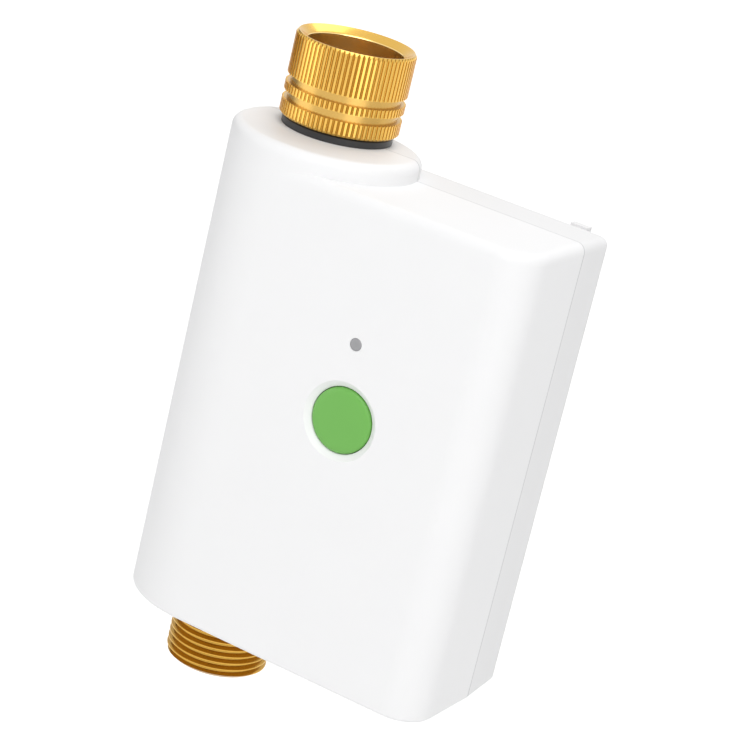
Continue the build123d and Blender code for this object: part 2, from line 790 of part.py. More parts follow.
def gear_face(teeth, module, phase):
    """Outline of a spur gear with involute flanks, with one tooth centred on the phase angle in degrees."""
    pitch_radius = module * teeth / 2
    base = pitch_radius * math.cos(math.radians(pressure_angle))
    tip = pitch_radius + addendum * module
    root = pitch_radius - dedendum * module
    start = max(base, root)
    middle = (start + tip) / 2
    pitch_half_angle = (math.pi * module / 2 - backlash) / (2 * pitch_radius)

    def involute(radius):
        slope = math.acos(min(base / radius, 1))
        return math.tan(slope) - slope

    def flank(radius, side):
        angle = side * (pitch_half_angle + involute(pitch_radius) - involute(max(radius, base)))
        return (radius * math.cos(angle), radius * math.sin(angle))

    with BuildSketch() as tooth:
        with BuildLine():
            sunk = root - module / 2
            Polyline(flank(start, -1), flank(sunk, -1), flank(sunk, 1), flank(start, 1))
            ThreePointArc(flank(start, 1), flank(middle, 1), flank(tip, 1))
            ThreePointArc(flank(tip, 1), (tip, 0), flank(tip, -1))
            ThreePointArc(flank(tip, -1), flank(middle, -1), flank(start, -1))
        make_face()
    with BuildSketch() as face:
        Circle(root)
        with PolarLocations(0, teeth, start_angle=phase):
            add(tooth.sketch)
    return face.sketch


def d_face(radius, flat):
    """A circle with one flat, as on a motor's shaft."""
    with BuildSketch() as face:
        Circle(radius)
        with Locations((flat, 0)):
            Rectangle(radius, 2 * radius, align=(Align.MIN, Align.CENTER), mode=Mode.SUBTRACT)
    return face.sketch


def rounded_plate(radius):
    """Outline of the gearbox in Y and Z, round all three gears and the motor's end."""
    low_y = compound_y - wheel_tip - gear_room - gearbox_wall
    high_y = gearbox_rear
    low_z = motor_z - motor_height / 2
    high_z = valve_z + gearbox_rear
    with BuildSketch() as face:
        with Locations(((low_y + high_y) / 2, (low_z + high_z) / 2)):
            RectangleRounded(high_y - low_y, high_z - low_z, radius)
    return face.sketch


gearbox_outline = rounded_plate(gearbox_corner)
outline_box = gearbox_outline.bounding_box()
cover_points = [
    (outline_box.min.X + cover_screw_inset, outline_box.max.Y - cover_screw_inset),
    (outline_box.max.X - cover_screw_inset, outline_box.max.Y - cover_screw_inset),
    (outline_box.max.X - cover_screw_inset, outline_box.min.Y + cover_screw_inset),
    (motor_y + motor_depth, outline_box.min.Y + cover_screw_inset),
]
motor_screw_offset = motor_height / 2 - motor_screw_inset
motor_screw_points = [(motor_y, motor_z - motor_screw_offset), (motor_y, motor_z + motor_screw_offset)]

with BuildPart() as gearbox_base:
    with BuildSketch(Plane.YZ.offset(base_x)):
        add(gearbox_outline)
    extrude(amount=plate_thickness)
    with Locations(to_right(0, 0, valve_z)):
        Cylinder(stem_radius + fit_gap, far, align=from_base, mode=Mode.SUBTRACT)
    with Locations(to_right(base_x + cover_skin, compound_y, compound_z)):
        Cylinder(axle_radius, far, align=from_base, mode=Mode.SUBTRACT)
    with Locations(*[to_right(base_x + pilot_skin, y, z) for y, z in cover_points]):
        Cylinder(small_screw_radius, far, align=from_base, mode=Mode.SUBTRACT)
    with Locations(*[to_right(base_x, y, z) for y, z in pad_screw_points]):
        Cone(pad_screw_radius + 2 * sink_gap, pad_screw_head + 2 * sink_gap, plate_thickness, align=from_base,
             mode=Mode.SUBTRACT)
finish(gearbox_base, "gearbox_base")

with BuildPart() as gearbox_cover:
    with BuildSketch(Plane.YZ.offset(cover_x)):
        add(gearbox_outline)
    extrude(amount=cover_end - cover_x)
    with BuildSketch(Plane.YZ.offset(cover_x)):
        add(gearbox_outline)
        offset(amount=-gearbox_wall, mode=Mode.REPLACE)
    extrude(amount=cover_end - gearbox_wall - cover_x, mode=Mode.SUBTRACT)
    with Locations(*[to_right(cover_x, y, z) for y, z in cover_points]):
        Cylinder(small_screw_radius + cover_post_wall, cover_end - cover_x - gearbox_wall / 2,
                 align=from_base)
        Cylinder(small_screw_radius + cover_hole_gap, far, align=from_base, mode=Mode.SUBTRACT)
    bearing_depth = cover_end - cover_skin - cover_x
    with Locations(to_right(cover_x, 0, valve_z)):
        Cylinder(stem_journal + running_gap, bearing_depth, align=from_base, mode=Mode.SUBTRACT)
    with Locations(to_right(cover_x, compound_y, compound_z)):
        Cylinder(axle_radius, bearing_depth, align=from_base, mode=Mode.SUBTRACT)
    with Locations(to_right(cover_x, motor_y, motor_z)):
        Cylinder(motor_shaft_radius + motor_shaft_room, far, align=from_base, mode=Mode.SUBTRACT)
    with Locations(*[to_right(cover_end - gearbox_wall, y, z) for y, z in motor_screw_points]):
        Cone(motor_screw_head + sink_gap, motor_screw_radius + 2 * sink_gap, motor_screw_head_height,
             align=from_base, mode=Mode.SUBTRACT)
        Cylinder(motor_screw_radius + 2 * sink_gap, far, align=from_base, mode=Mode.SUBTRACT)
finish(gearbox_cover, "gearbox_cover")

with BuildPart() as gearbox_base_screws:
    with Locations(*[to_right(base_x + sink_gap, y, z) for y, z in pad_screw_points]):
        Cone(pad_screw_radius + sink_gap, pad_screw_head, plate_thickness - 2 * sink_gap, align=from_base)
    with Locations(*[to_right(pad_reach - pad_screw_length, y, z) for y, z in pad_screw_points]):
        Cylinder(pad_screw_radius, pad_screw_length + plate_thickness / 2, align=from_base)
finish(gearbox_base_screws, "gearbox_base_screws")

with BuildPart() as gearbox_cover_screws:
    with Locations(*[to_right(cover_end, y, z) for y, z in cover_points]):
        Cylinder(small_screw_head, small_screw_head_height, align=from_base)
    tip_x = base_x + pilot_skin + cover_hole_gap
    with Locations(*[to_right(tip_x, y, z) for y, z in cover_points]):
        Cylinder(small_screw_radius - running_gap, cover_end + small_screw_head_height / 2 - tip_x,
                 align=from_base)
finish(gearbox_cover_screws, "gearbox_cover_screws")

with BuildPart() as output_gear:
    with BuildSketch(Plane.YZ.offset(output_x)):
        with Locations((0, valve_z)):
            add(gear_face(wheel_teeth, coarse_module, compound_angle))
            add(d_face(stem_drive + press_gap, stem_flat + press_gap), mode=Mode.SUBTRACT)
    extrude(amount=output_width)
finish(output_gear, "output_gear")

collar_start = collar_bore_end - running_gap - stem_collar_height
tang_start = ball_radius - slot_depth + tang_end_gap
drive_start = base_x + stem_shoulder
stem_groove_width = 2 * stem_ring + stem_ring_slack
outer_groove = pad_reach - stem_ring_margin - stem_groove_width
stem_grooves = (outer_groove - stem_ring_pitch, outer_groove)
with BuildPart() as valve_stem:
    with Locations((tang_start, 0, valve_z)):
        Box(collar_start - tang_start, tang_width, tang_height, align=rightward)
    with Locations(to_right(collar_start, 0, valve_z)):
        Cylinder(stem_collar, stem_collar_height, align=from_base)
        Cylinder(stem_radius, drive_start - collar_start, align=from_base)
        Cylinder(stem_journal, cover_end - cover_skin - tang_end_gap - collar_start, align=from_base)
    with BuildSketch(Plane.YZ.offset(drive_start)):
        with Locations((0, valve_z)):
            add(d_face(stem_drive, stem_flat))
    extrude(amount=wheel_x + stem_shoulder - drive_start)
    for x in stem_grooves:
        with BuildSketch(Plane.YZ.offset(x)):
            with Locations((0, valve_z)):
                Circle(stem_radius + past)
                Circle(stem_radius - 2 * stem_ring, mode=Mode.SUBTRACT)
        extrude(amount=stem_groove_width, mode=Mode.SUBTRACT)
finish(valve_stem, "valve_stem")

with BuildPart() as stem_o_rings:
    for x in stem_grooves:
        with Locations(to_right(x + stem_groove_width / 2, 0, valve_z)):
            Torus(stem_radius - stem_ring, stem_ring)
finish(stem_o_rings, "stem_o_rings")

half_tooth = 180 / pinion_teeth
with BuildPart() as compound_gear:
    with BuildSketch(Plane.YZ.offset(output_x)):
        with Locations((compound_y, compound_z)):
            add(gear_face(pinion_teeth, coarse_module, compound_angle + 180 + half_tooth))
    extrude(amount=output_width + layer_gap)
    with BuildSketch(Plane.YZ.offset(wheel_x)):
        with Locations((compound_y, compound_z)):
            add(gear_face(wheel_teeth, fine_module, pinion_angle))
    extrude(amount=wheel_width)
    with Locations(to_right(0, compound_y, compound_z)):
        Cylinder(axle_radius + running_gap, far, align=from_base, mode=Mode.SUBTRACT)
finish(compound_gear, "compound_gear")

with BuildPart() as compound_axle:
    with Locations(to_right(base_x + cover_skin, compound_y, compound_z)):
        Cylinder(axle_radius, cover_end - base_x - 2 * cover_skin, align=from_base)
finish(compound_axle, "compound_axle")

with BuildPart() as motor_pinion:
    with BuildSketch(Plane.YZ.offset(wheel_x)):
        with Locations((motor_y, motor_z)):
            add(gear_face(pinion_teeth, fine_module, pinion_angle + 180 + half_tooth))
            Circle(motor_shaft_radius + press_gap, mode=Mode.SUBTRACT)
    extrude(amount=wheel_width)
finish(motor_pinion, "motor_pinion")

with BuildPart() as motor_shaft:
    with Locations(to_right(wheel_x, motor_y, motor_z)):
        Cylinder(motor_shaft_radius, cover_end + gear_head_length / 2 - wheel_x, align=from_base)
finish(motor_shaft, "motor_shaft")

with BuildPart() as motor_gear_head:
    with BuildSketch(Plane.YZ.offset(cover_end)):
        with Locations((motor_y, motor_z)):
            Rectangle(motor_depth, motor_height)
    extrude(amount=gear_head_length)
    with Locations(to_right(cover_end, motor_y, motor_z)):
        Cylinder(motor_shaft_radius + running_gap, gear_head_length / 2 + slide_gap, align=from_base,
                 mode=Mode.SUBTRACT)
    with Locations(*[to_right(cover_end, y, z) for y, z in motor_screw_points]):
        Cylinder(motor_screw_radius + sink_gap, motor_screw_reach + 2 * fit_gap, align=from_base,
                 mode=Mode.SUBTRACT)
finish(motor_gear_head, "motor_gear_head")

with BuildPart() as motor_can:
    with BuildSketch(Plane.YZ.offset(cover_end + gear_head_length)):
        with Locations((motor_y, motor_z)):
            Circle(motor_height / 2)
            Rectangle(motor_depth, 2 * motor_height, mode=Mode.INTERSECT)
    extrude(amount=motor_length)
    fillet(motor_can.edges().group_by(Axis.X)[-1], radius=motor_end_fillet)
finish(motor_can, "motor_can")

with BuildPart() as motor_screws:
    with Locations(*[to_right(cover_end - gearbox_wall, y, z) for y, z in motor_screw_points]):
        Cone(motor_screw_head, motor_screw_radius + sink_gap, motor_screw_head_height, align=from_base)
        Cylinder(motor_screw_radius, gearbox_wall + motor_screw_reach, align=from_base)
finish(motor_screws, "motor_screws")

# Battery bay: a tray closed against the rear shell, cells, contacts and a door that pulls off the rear
tray_front = inner_rear - 2 * cell_radius - cell_gap - tray_floor - door_rim_depth + wall
bay_front = tray_front + tray_floor
cell_y = bay_front + cell_gap / 2 + cell_radius
column_x = (tray_left + tray_wall + cell_gap + cell_radius, tray_right - tray_wall - cell_gap - cell_radius)
bay_top = tray_top - tray_wall
bay_bottom = tray_bottom + tray_wall
contact_size = 2 * (cell_radius - contact_inset)
tab_end = tray_front - contact_tab_reach
tab_z = bay_top - contact_thickness / 2

with BuildPart() as battery_tray:
    with Locations((tray_x, tray_front, tray_z)):
        Box(tray_width, inner_rear - tray_front, tray_length, align=rearward)
    fillet(battery_tray.edges().filter_by(Axis.Y), radius=tray_corner)
    with Locations((tray_x, bay_front, tray_z)):
        Box(bay_width, far, bay_length, align=rearward, mode=Mode.SUBTRACT)
    with Locations(*[(x, tray_front, tab_z) for x in column_x]):
        Box(contact_tab + 2 * slide_gap, 4 * tray_floor, contact_thickness + 2 * running_gap,
            mode=Mode.SUBTRACT)
finish(battery_tray, "battery_tray")

stack_top = bay_top - contact_thickness
stack_bottom = bay_bottom + contact_thickness
with BuildPart() as battery_cells:
    for x, start, side in ((column_x[0], stack_top, -1), (column_x[1], stack_bottom, 1)):
        for cell in range(2):
            nub_end = start + side * cell * (cell_length + nub_height + running_gap)
            can_middle = nub_end + side * (nub_height + cell_length / 2)
            with Locations((x, cell_y, can_middle)):
                Cylinder(cell_radius, cell_length)
            with Locations((x, cell_y, nub_end + side * nub_height / 2)):
                Cylinder(nub_radius, nub_height)
finish(battery_cells, "battery_cells")

with BuildPart() as battery_contacts:
    with Locations(*[(x, cell_y, tab_z) for x in column_x]):
        Box(contact_size, contact_size, contact_thickness)
    with Locations(*[(x, cell_y, tab_z) for x in column_x]):
        Box(contact_tab, cell_y - tab_end, contact_thickness, align=frontward)
    with Locations((tray_x, cell_y, bay_bottom + contact_thickness / 2)):
        Box(bay_width - 2 * cell_gap, contact_size, contact_thickness)
finish(battery_contacts, "battery_contacts")

spring_rise = spring_height - 2 * (spring_wire + sink_gap)
spring_points = []
for step in range(spring_turns * spring_steps + 1):
    height = spring_rise * step / (spring_turns * spring_steps)
    radius = cell_radius - spring_inset - height * math.tan(math.radians(spring_cone))
    turn = 2 * math.pi * step / spring_steps
    spring_points.append((radius * math.cos(turn), radius * math.sin(turn), height))

with BuildPart() as one_spring:
    with BuildLine() as coil:
        Polyline(*spring_points)
    with BuildSketch(Plane(coil.line @ 0, z_dir=coil.line % 0)):
        RegularPolygon(spring_wire, 8)
    sweep(path=coil.line, transition=Transition.RIGHT)

with BuildPart() as battery_springs:
    with Locations(Location((column_x[0], cell_y, stack_bottom + spring_wire + sink_gap)),
                   Location((column_x[1], cell_y, stack_top - spring_wire - sink_gap), (180, 0, 0))):
        add(one_spring.part)
finish(battery_springs, "battery_springs")

door_width = bay_width + 2 * door_margin
door_length = bay_length + 2 * door_margin
rim_width = bay_width - 2 * slide_gap
rim_length = bay_length - 2 * slide_gap
with BuildPart() as battery_door:
    with Locations((tray_x, case_rear, tray_z)):
        Box(door_width, door_thickness, door_length, align=rearward)
    fillet(battery_door.edges().filter_by(Axis.Y), radius=door_corner)
    fillet(battery_door.faces().sort_by(Axis.Y)[-1].edges(), radius=door_edge)
    with Locations((tray_x, case_rear, tray_z)):
        Box(rim_width, door_rim_depth, rim_length, align=frontward)
        Box(rim_width - 2 * door_rim, door_rim_depth, rim_length - 2 * door_rim,
            align=frontward, mode=Mode.SUBTRACT)
    for tip, side in lug_tips:
        inner = tray_z + side * (door_length / 2 - door_corner)
        with Locations((lug_x, case_rear + door_thickness, tip)):
            Box(lug_width, door_thickness, abs(tip - inner),
                align=(Align.CENTER, Align.MAX, Align.MAX if side > 0 else Align.MIN))
            Box(lug_width, case_rear + door_thickness - lug_start, lug_reach,
                align=(Align.CENTER, Align.MAX, Align.MAX if side > 0 else Align.MIN))
finish(battery_door, "battery_door")

with BuildPart() as battery_door_seal:
    with Locations((tray_x, case_rear - running_gap, tray_z)):
        Box(gasket_width - 2 * sink_gap, door_gasket, gasket_length - 2 * sink_gap, align=frontward)
        Box(bay_width, far, bay_length, mode=Mode.SUBTRACT)
finish(battery_door_seal, "battery_door_seal")

# Board and what is soldered to it
with BuildPart() as main_board:
    with Locations(((board_left + board_right) / 2, board_front, (board_top + board_bottom) / 2)):
        Box(board_right - board_left, board_thickness, board_top - board_bottom,
            align=rearward)
    fillet(main_board.edges().filter_by(Axis.Y), radius=board_corner)
    with Locations(*[to_rear(x, -far / 2, z) for x, z in board_points]):
        Cylinder(small_screw_radius + fit_gap, far, align=from_base, mode=Mode.SUBTRACT)
finish(main_board, "main_board")

with BuildPart() as board_screws:
    with Locations(*[to_rear(x, board_rear, z) for x, z in board_points]):
        Cylinder(small_screw_head, small_screw_head_height, align=from_base)
    tip_y = inner_front + pilot_floor + small_screw_tip_gap
    with Locations(*[to_rear(x, tip_y, z) for x, z in board_points]):
        Cylinder(small_screw_radius, board_rear - tip_y, align=from_base)
finish(board_screws, "board_screws")

with BuildPart() as switch_body:
    with Locations((button_x, board_front, button_z)):
        Box(switch_size, switch_height, switch_size, align=frontward)
    fillet(switch_body.edges().filter_by(Axis.Y), radius=switch_corner)
    with Locations(to_rear(button_x, board_front - switch_height, button_z)):
        Cylinder(plunger_radius + running_gap, plunger_length + button_travel, align=from_base,
                 mode=Mode.SUBTRACT)
finish(switch_body, "switch_body")

with BuildPart() as switch_plunger:
    with Locations(to_rear(button_x, cap_back, button_z)):
        Cylinder(plunger_radius, plunger_length, align=from_base)
finish(switch_plunger, "switch_plunger")

with BuildPart() as status_led:
    with Locations((light_x, board_front, light_z)):
        Box(led_width, led_height, led_length, align=frontward)
finish(status_led, "status_led")

with BuildPart() as light_pipe:
    light_face = -case_front - light_proud
    with Locations(to_rear(light_x, light_face, light_z)):
        Cylinder(light_radius, board_front - led_height - led_gap - light_face, align=from_base)
    fillet(light_pipe.edges().sort_by(Axis.Y)[0], radius=light_edge)
    with Locations(to_rear(light_x, inner_front, light_z)):
        Cylinder(light_flange, light_flange_height, align=from_base)
finish(light_pipe, "light_pipe")

radio_z = board_top - radio_drop
with BuildPart() as radio_module:
    with Locations((radio_x, board_rear, radio_z)):
        Box(radio_width, radio_thickness, radio_length, align=rearward)
    can_top = radio_z + radio_length / 2 - radio_aerial
    can_bottom = radio_z - radio_length / 2 + radio_can_inset
    with Locations((radio_x, board_rear + radio_thickness, can_bottom)):
        Box(radio_width - 2 * radio_can_inset, radio_can_height, can_top - can_bottom,
            align=(Align.CENTER, Align.MIN, Align.MIN))
finish(radio_module, "radio_module")

with BuildPart() as buffer_capacitor:
    with Locations(to_rear(capacitor_x, board_rear, board_top - capacitor_drop)):
        Cylinder(capacitor_radius, capacitor_height, align=from_base)
    fillet(buffer_capacitor.edges().sort_by(Axis.Y)[-1], radius=capacitor_fillet)
finish(buffer_capacitor, "buffer_capacitor")

plug_end = board_rear + plug_depth
motor_plug_z = board_top - motor_plug_drop
battery_plug_z = board_top - battery_plug_drop
with BuildPart() as board_connectors:
    with Locations((motor_plug_x, board_rear, motor_plug_z), (battery_plug_x, board_rear, battery_plug_z)):
        Box(plug_width, plug_depth, plug_length, align=rearward)
finish(board_connectors, "board_connectors")


def lead(*points):
    """One insulated wire along straight runs with rounded corners."""
    with BuildPart() as wire:
        with BuildLine() as route:
            FilletPolyline(*points, radius=lead_bend)
        with BuildSketch(Plane(route.line @ 0, z_dir=route.line % 0)):
            Circle(lead_radius)
        sweep(path=route.line)
    return wire.part


motor_end = cover_end + gear_head_length + motor_length
lead_y = motor_y + motor_lead_spread
with BuildPart() as motor_leads:
    for side in (-1, 1):
        x = motor_plug_x + side * lead_spread
        z = motor_z - side * motor_lead_spread
        add(lead((motor_end, lead_y, z), (x, lead_y, z),
                 (x, lead_y, motor_plug_z), (x, plug_end, motor_plug_z)))
finish(motor_leads, "motor_leads")

with BuildPart() as battery_leads:
    for side, x in zip((-1, 1), column_x):
        end_x = battery_plug_x + side * lead_spread
        lead_y = tab_end - battery_lead_reach
        add(lead((x, tab_end, tab_z), (x, lead_y, tab_z), (end_x, lead_y, battery_plug_z),
                 (end_x, plug_end, battery_plug_z)))
finish(battery_leads, "battery_leads")

# Button: the cap and its seal ring slide in the front shell and press the switch
cap_front = -case_front + button_recess
with BuildPart() as button_cap:
    with Locations(to_rear(button_x, cap_front, button_z)):
        Cylinder(button_radius, flange_front - cap_front, align=from_base)
    fillet(button_cap.edges().sort_by(Axis.Y)[0], radius=button_edge)
    with Locations(to_rear(button_x, flange_front, button_z)):
        Cylinder(button_flange, button_flange_height, align=from_base)
finish(button_cap, "button_cap")

with BuildPart() as button_seal:
    with Locations(to_rear(button_x, inner_front + running_gap, button_z)):
        Cylinder(button_flange, button_seal_height, align=from_base)
        Cylinder(button_radius + running_gap, far, align=from_base, mode=Mode.SUBTRACT)
finish(button_seal, "button_seal")
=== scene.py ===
import math

import bpy
from mathutils import Matrix, Vector


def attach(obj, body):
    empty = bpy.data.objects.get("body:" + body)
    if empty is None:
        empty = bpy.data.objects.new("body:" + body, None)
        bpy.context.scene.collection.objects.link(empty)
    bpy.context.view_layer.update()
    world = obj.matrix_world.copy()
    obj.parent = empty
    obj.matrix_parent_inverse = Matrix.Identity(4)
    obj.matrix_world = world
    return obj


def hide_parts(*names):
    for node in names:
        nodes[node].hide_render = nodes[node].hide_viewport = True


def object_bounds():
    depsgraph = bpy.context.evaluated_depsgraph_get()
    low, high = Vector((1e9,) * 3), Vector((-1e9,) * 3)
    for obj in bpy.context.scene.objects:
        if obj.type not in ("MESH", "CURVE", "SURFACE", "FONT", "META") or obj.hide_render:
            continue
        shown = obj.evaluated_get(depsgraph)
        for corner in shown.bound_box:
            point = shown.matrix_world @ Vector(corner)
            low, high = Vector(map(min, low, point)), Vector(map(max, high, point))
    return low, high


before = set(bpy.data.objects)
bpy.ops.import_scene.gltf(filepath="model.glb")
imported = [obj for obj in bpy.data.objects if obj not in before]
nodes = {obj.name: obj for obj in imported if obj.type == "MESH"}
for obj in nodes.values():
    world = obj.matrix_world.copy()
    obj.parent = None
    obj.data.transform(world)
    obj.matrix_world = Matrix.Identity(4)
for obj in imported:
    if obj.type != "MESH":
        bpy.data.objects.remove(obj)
cad_bounds = [list(corner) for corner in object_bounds()]
bpy.ops.object.select_all(action="DESELECT")

# Camera: it stands where the photograph was taken from, as fitted to the edges of the case, the nut
# and the button. It looks down a little and leans to the left, so the timer seems to lean to the right.
scene = bpy.context.scene
focal_pixels = 2796.29
frame_pixels = 749.0
camera_data = bpy.data.cameras.new("camera")
camera_data.sensor_width = 36.0
camera_data.lens = focal_pixels / frame_pixels * camera_data.sensor_width
camera_data.clip_start = 0.01
camera = bpy.data.objects.new("camera", camera_data)
right = Vector((0.83855, 0.49679, 0.22367))
up = Vector((-0.34656, 0.1696, 0.92257))
axes = Matrix((right, up, right.cross(up))).transposed().to_4x4()
camera.matrix_world = Matrix.Translation((0.31548, -0.58685, 0.1398)) @ axes
scene.collection.objects.link(camera)
scene.camera = camera


# Studio: a white room, even light from all round and four large soft lamps, which is how a small white
# product is lit. Its walls show plain white to the camera and in the metal.
class Wire:
    """A socket in a node tree. Arithmetic on wires adds the Math nodes for it."""

    def __init__(self, tree, socket=None):
        self.tree = tree
        self.socket = socket

    def node(self, kind, settings=None, output=0, **inputs):
        """Adds a node with its settings, and a value or a wire for each input, by name or as i0, i1."""
        made = self.tree.nodes.new("ShaderNode" + kind)
        for name, value in (settings or {}).items():
            setattr(made, name, value)
        for name, value in inputs.items():
            socket = made.inputs[int(name[1:]) if name[1:].isdigit() else name.replace("_", " ")]
            if isinstance(value, Wire):
                self.tree.links.new(value.socket, socket)
            else:
                socket.default_value = value
        return Wire(self.tree, made.outputs[output] if made.outputs else None)

    def maths(self, operation, first, second=0.0):
        return self.node("Math", {"operation": operation}, i0=first, i1=second)

    def __add__(self, other):
        return self.maths("ADD", self, other)

    def __radd__(self, other):
        return self.maths("ADD", other, self)

    def __sub__(self, other):
        return self.maths("SUBTRACT", self, other)

    def __rsub__(self, other):
        return self.maths("SUBTRACT", other, self)

    def __mul__(self, other):
        return self.maths("MULTIPLY", self, other)

    def __rmul__(self, other):
        return self.maths("MULTIPLY", other, self)

    def __gt__(self, other):
        return self.maths("GREATER_THAN", self, other)

    def __lt__(self, other):
        return self.maths("LESS_THAN", self, other)

    def blend(self, first, second):
        """A colour from first to second, as this wire goes from 0 to 1."""
        return self.node("Mix", {"data_type": "RGBA"}, output=2, i0=self, i6=first, i7=second)


def rays_to_background(tree):
    """1 for the rays that show a background: the camera's, and those mirrored or seen through."""
    seen = Wire(tree).node("LightPath")
    kinds = seen.socket.node.outputs
    for kind in ("Is Glossy Ray", "Is Transmission Ray"):
        seen = seen.maths("MAXIMUM", seen, Wire(tree, kinds[kind]))
    return seen


def empty_material(name):
    """A material with no nodes yet."""
    made = bpy.data.materials.new(name)
    made.use_nodes = True
    made.node_tree.nodes.clear()
    return made


scene.view_settings.view_transform = "Standard"
room_light = 0.4
world = bpy.data.worlds.new("studio")
world.use_nodes = True
world.node_tree.nodes.clear()
scene.world = world
room = Wire(world.node_tree)
strength = room_light + (1 - room_light) * rays_to_background(world.node_tree)
walls = room.node("Background", Color=(1, 1, 1, 1), Strength=strength)
room.node("OutputWorld", Surface=walls)


def lamp(name, direction, distance, size, share):
    """A square soft lamp that adds a share of white to a face that looks straight at it."""
    made = bpy.data.lights.new(name, "AREA")
    made.size = size
    made.energy = share * math.pi ** 2 * distance ** 2
    middle = Vector((0.02, 0.0, -0.085))
    towards = Vector(direction).normalized()
    stand = bpy.data.objects.new(name, made)
    stand.location = middle + towards * distance
    stand.rotation_euler = towards.to_track_quat("Z", "Y").to_euler()
    scene.collection.objects.link(stand)


lamp("lamp_above", (0.33, -0.55, 0.79), 1.3, 1.1, 0.57)
lamp("lamp_left", (-0.8, -0.6, 0.1), 1.3, 0.9, 0.17)
lamp("lamp_right", (0.82, -0.56, 0.0), 1.3, 0.9, 0.17)
lamp("lamp_back", (0.0, 0.5, 0.86), 1.3, 0.9, 0.3)

# Floor: plain white paper, well below the timer, which hangs as it does from a tap. The timer's shadow
# falls on it, and to the camera it has the white of the walls.
floor_size, floor_drop = 6.0, 0.14
bpy.ops.mesh.primitive_plane_add(size=floor_size, location=(0, 0, cad_bounds[0][2] - floor_drop))
floor = bpy.context.object
floor.name = "floor"
floor.select_set(False)
sweep = empty_material("white_paper")
paper = Wire(sweep.node_tree)
mottle = paper.node("TexNoise", Scale=3.0, Detail=2.0)
colour = mottle.blend((0.93, 0.93, 0.93, 1), (0.95, 0.95, 0.95, 1))
surface = paper.node("BsdfPrincipled", Base_Color=colour, Roughness=0.9)
away = paper.node("VectorMath", {"operation": "LENGTH"}, output=1, i0=paper.node("TexCoord", output=3))
glow_under, glow_afar, glow_reach = 0.25, 0.65, 1.5
lift = glow_under + (glow_afar - glow_under) * paper.maths("MINIMUM", away * (1 / glow_reach), 1.0)
glow = paper.node("Emission", Strength=lift * rays_to_background(sweep.node_tree))
paper.node("OutputMaterial", Surface=paper.node("AddShader", i0=surface, i1=glow))
floor.data.materials.append(sweep)

# Card: a dark board outside the picture, to the far left, that only the metal mirrors. It gives the brass
# its darker stretch, as a flag does on a photographer's table.
card_turn = math.radians(-105)
card_away, card_rise = 1.2, 0.16
card_width, card_height = 0.9, 0.6
bpy.ops.mesh.primitive_plane_add(size=1.0, rotation=(math.pi / 2, 0, card_turn))
card = bpy.context.object
card.name = "card_left"
card.scale = (card_width, card_height, 1)
card.location = Vector((math.sin(card_turn), -math.cos(card_turn), 0)) * card_away
card.location.z = cad_bounds[0][2] + card_rise
card.visible_camera = False
card.visible_diffuse = False
card.visible_shadow = False
card.visible_transmission = False
card.select_set(False)
card_paint = empty_material("dark_card")
board = Wire(card_paint.node_tree)
shade = board.node("TexNoise", Scale=2.0).blend((0.06, 0.05, 0.04, 1), (0.08, 0.07, 0.06, 1))
board.node("OutputMaterial", Surface=board.node("Emission", Color=shade, Strength=1.0))
card.data.materials.append(card_paint)

# Front and rear halves of the case: white moulded ABS, 2.2 mm thick, with a fine matt texture. The rear
# one is painted a shade darker, as painted shade for sides that lean a little away from the light. They
# meet on the hose axis, where a fine seam shows, and four long screws from the rear hold them together.
mm = 0.001
gloss_change = 0.08


def finish(name, colour, roughness, metallic=0.0, grain=4000.0, bump=0.0, wear=0.04, stretch=(1, 1, 1)):
    """A finish whose colour, gloss and surface vary a little, with its grain in cycles a metre."""
    made = empty_material(name)
    start = Wire(made.node_tree)
    place = start.node("TexCoord", output=3)
    streaks = start.node("Mapping", Vector=place, Scale=stretch)
    fine = start.node("TexNoise", Vector=streaks, Scale=grain, Detail=3.0)
    broad = start.node("TexNoise", Vector=place, Scale=60.0, Detail=2.0)
    dark = [c * (1 - wear) for c in colour] + [1]
    pale = [min(c * (1 + wear), 1) for c in colour] + [1]
    gloss = roughness + gloss_change * (broad - 0.5) + gloss_change * (fine - 0.5)
    inputs = {"Base_Color": broad.blend(dark, pale), "Roughness": gloss, "Metallic": metallic}
    if bump:
        inputs["Normal"] = start.node("Bump", Strength=bump, Distance=0.0001, Height=fine)
    start.node("OutputMaterial", Surface=start.node("BsdfPrincipled", **inputs))
    return made


def axes_of(material):
    """The three object coordinates, in metres, as wires in a material's tree."""
    start = Wire(material.node_tree)
    place = start.node("TexCoord", output=3)
    return [start.node("SeparateXYZ", output=number, Vector=place) for number in range(3)]


def recoloured(material, mask, colour):
    """Gives a finish another colour as far as the mask, a wire in its tree, goes from 0 to 1."""
    tree = material.node_tree
    base = tree.nodes["Principled BSDF"].inputs["Base Color"]
    before = Wire(tree, base.links[0].from_socket)
    tree.links.new(mask.blend(before, (*colour, 1)).socket, base)


def dress(material, *names):
    """Gives CAD nodes their finish."""
    for name in names:
        nodes[name].data.materials.clear()
        nodes[name].data.materials.append(material)


def shaded(piece, sharp):
    """Shades a piece smooth but for edges sharper than the angle, with its flat faces kept flat."""
    bpy.ops.object.select_all(action="DESELECT")
    piece.select_set(True)
    bpy.context.view_layer.objects.active = piece
    bpy.ops.object.shade_smooth_by_angle(angle=math.radians(sharp))
    even = piece.modifiers.new("even", "WEIGHTED_NORMAL")
    even.keep_sharp = True
    bpy.ops.object.modifier_apply(modifier=even.name)
    piece.select_set(False)


def placed(piece, material, body, slot, *replaced):
    """Gives a finished piece its material and its body, and hides the nodes that it stands for. The slot is
    not used.
    """
    piece.data.materials.clear()
    piece.data.materials.append(material)
    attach(piece, body)
    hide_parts(*replaced)


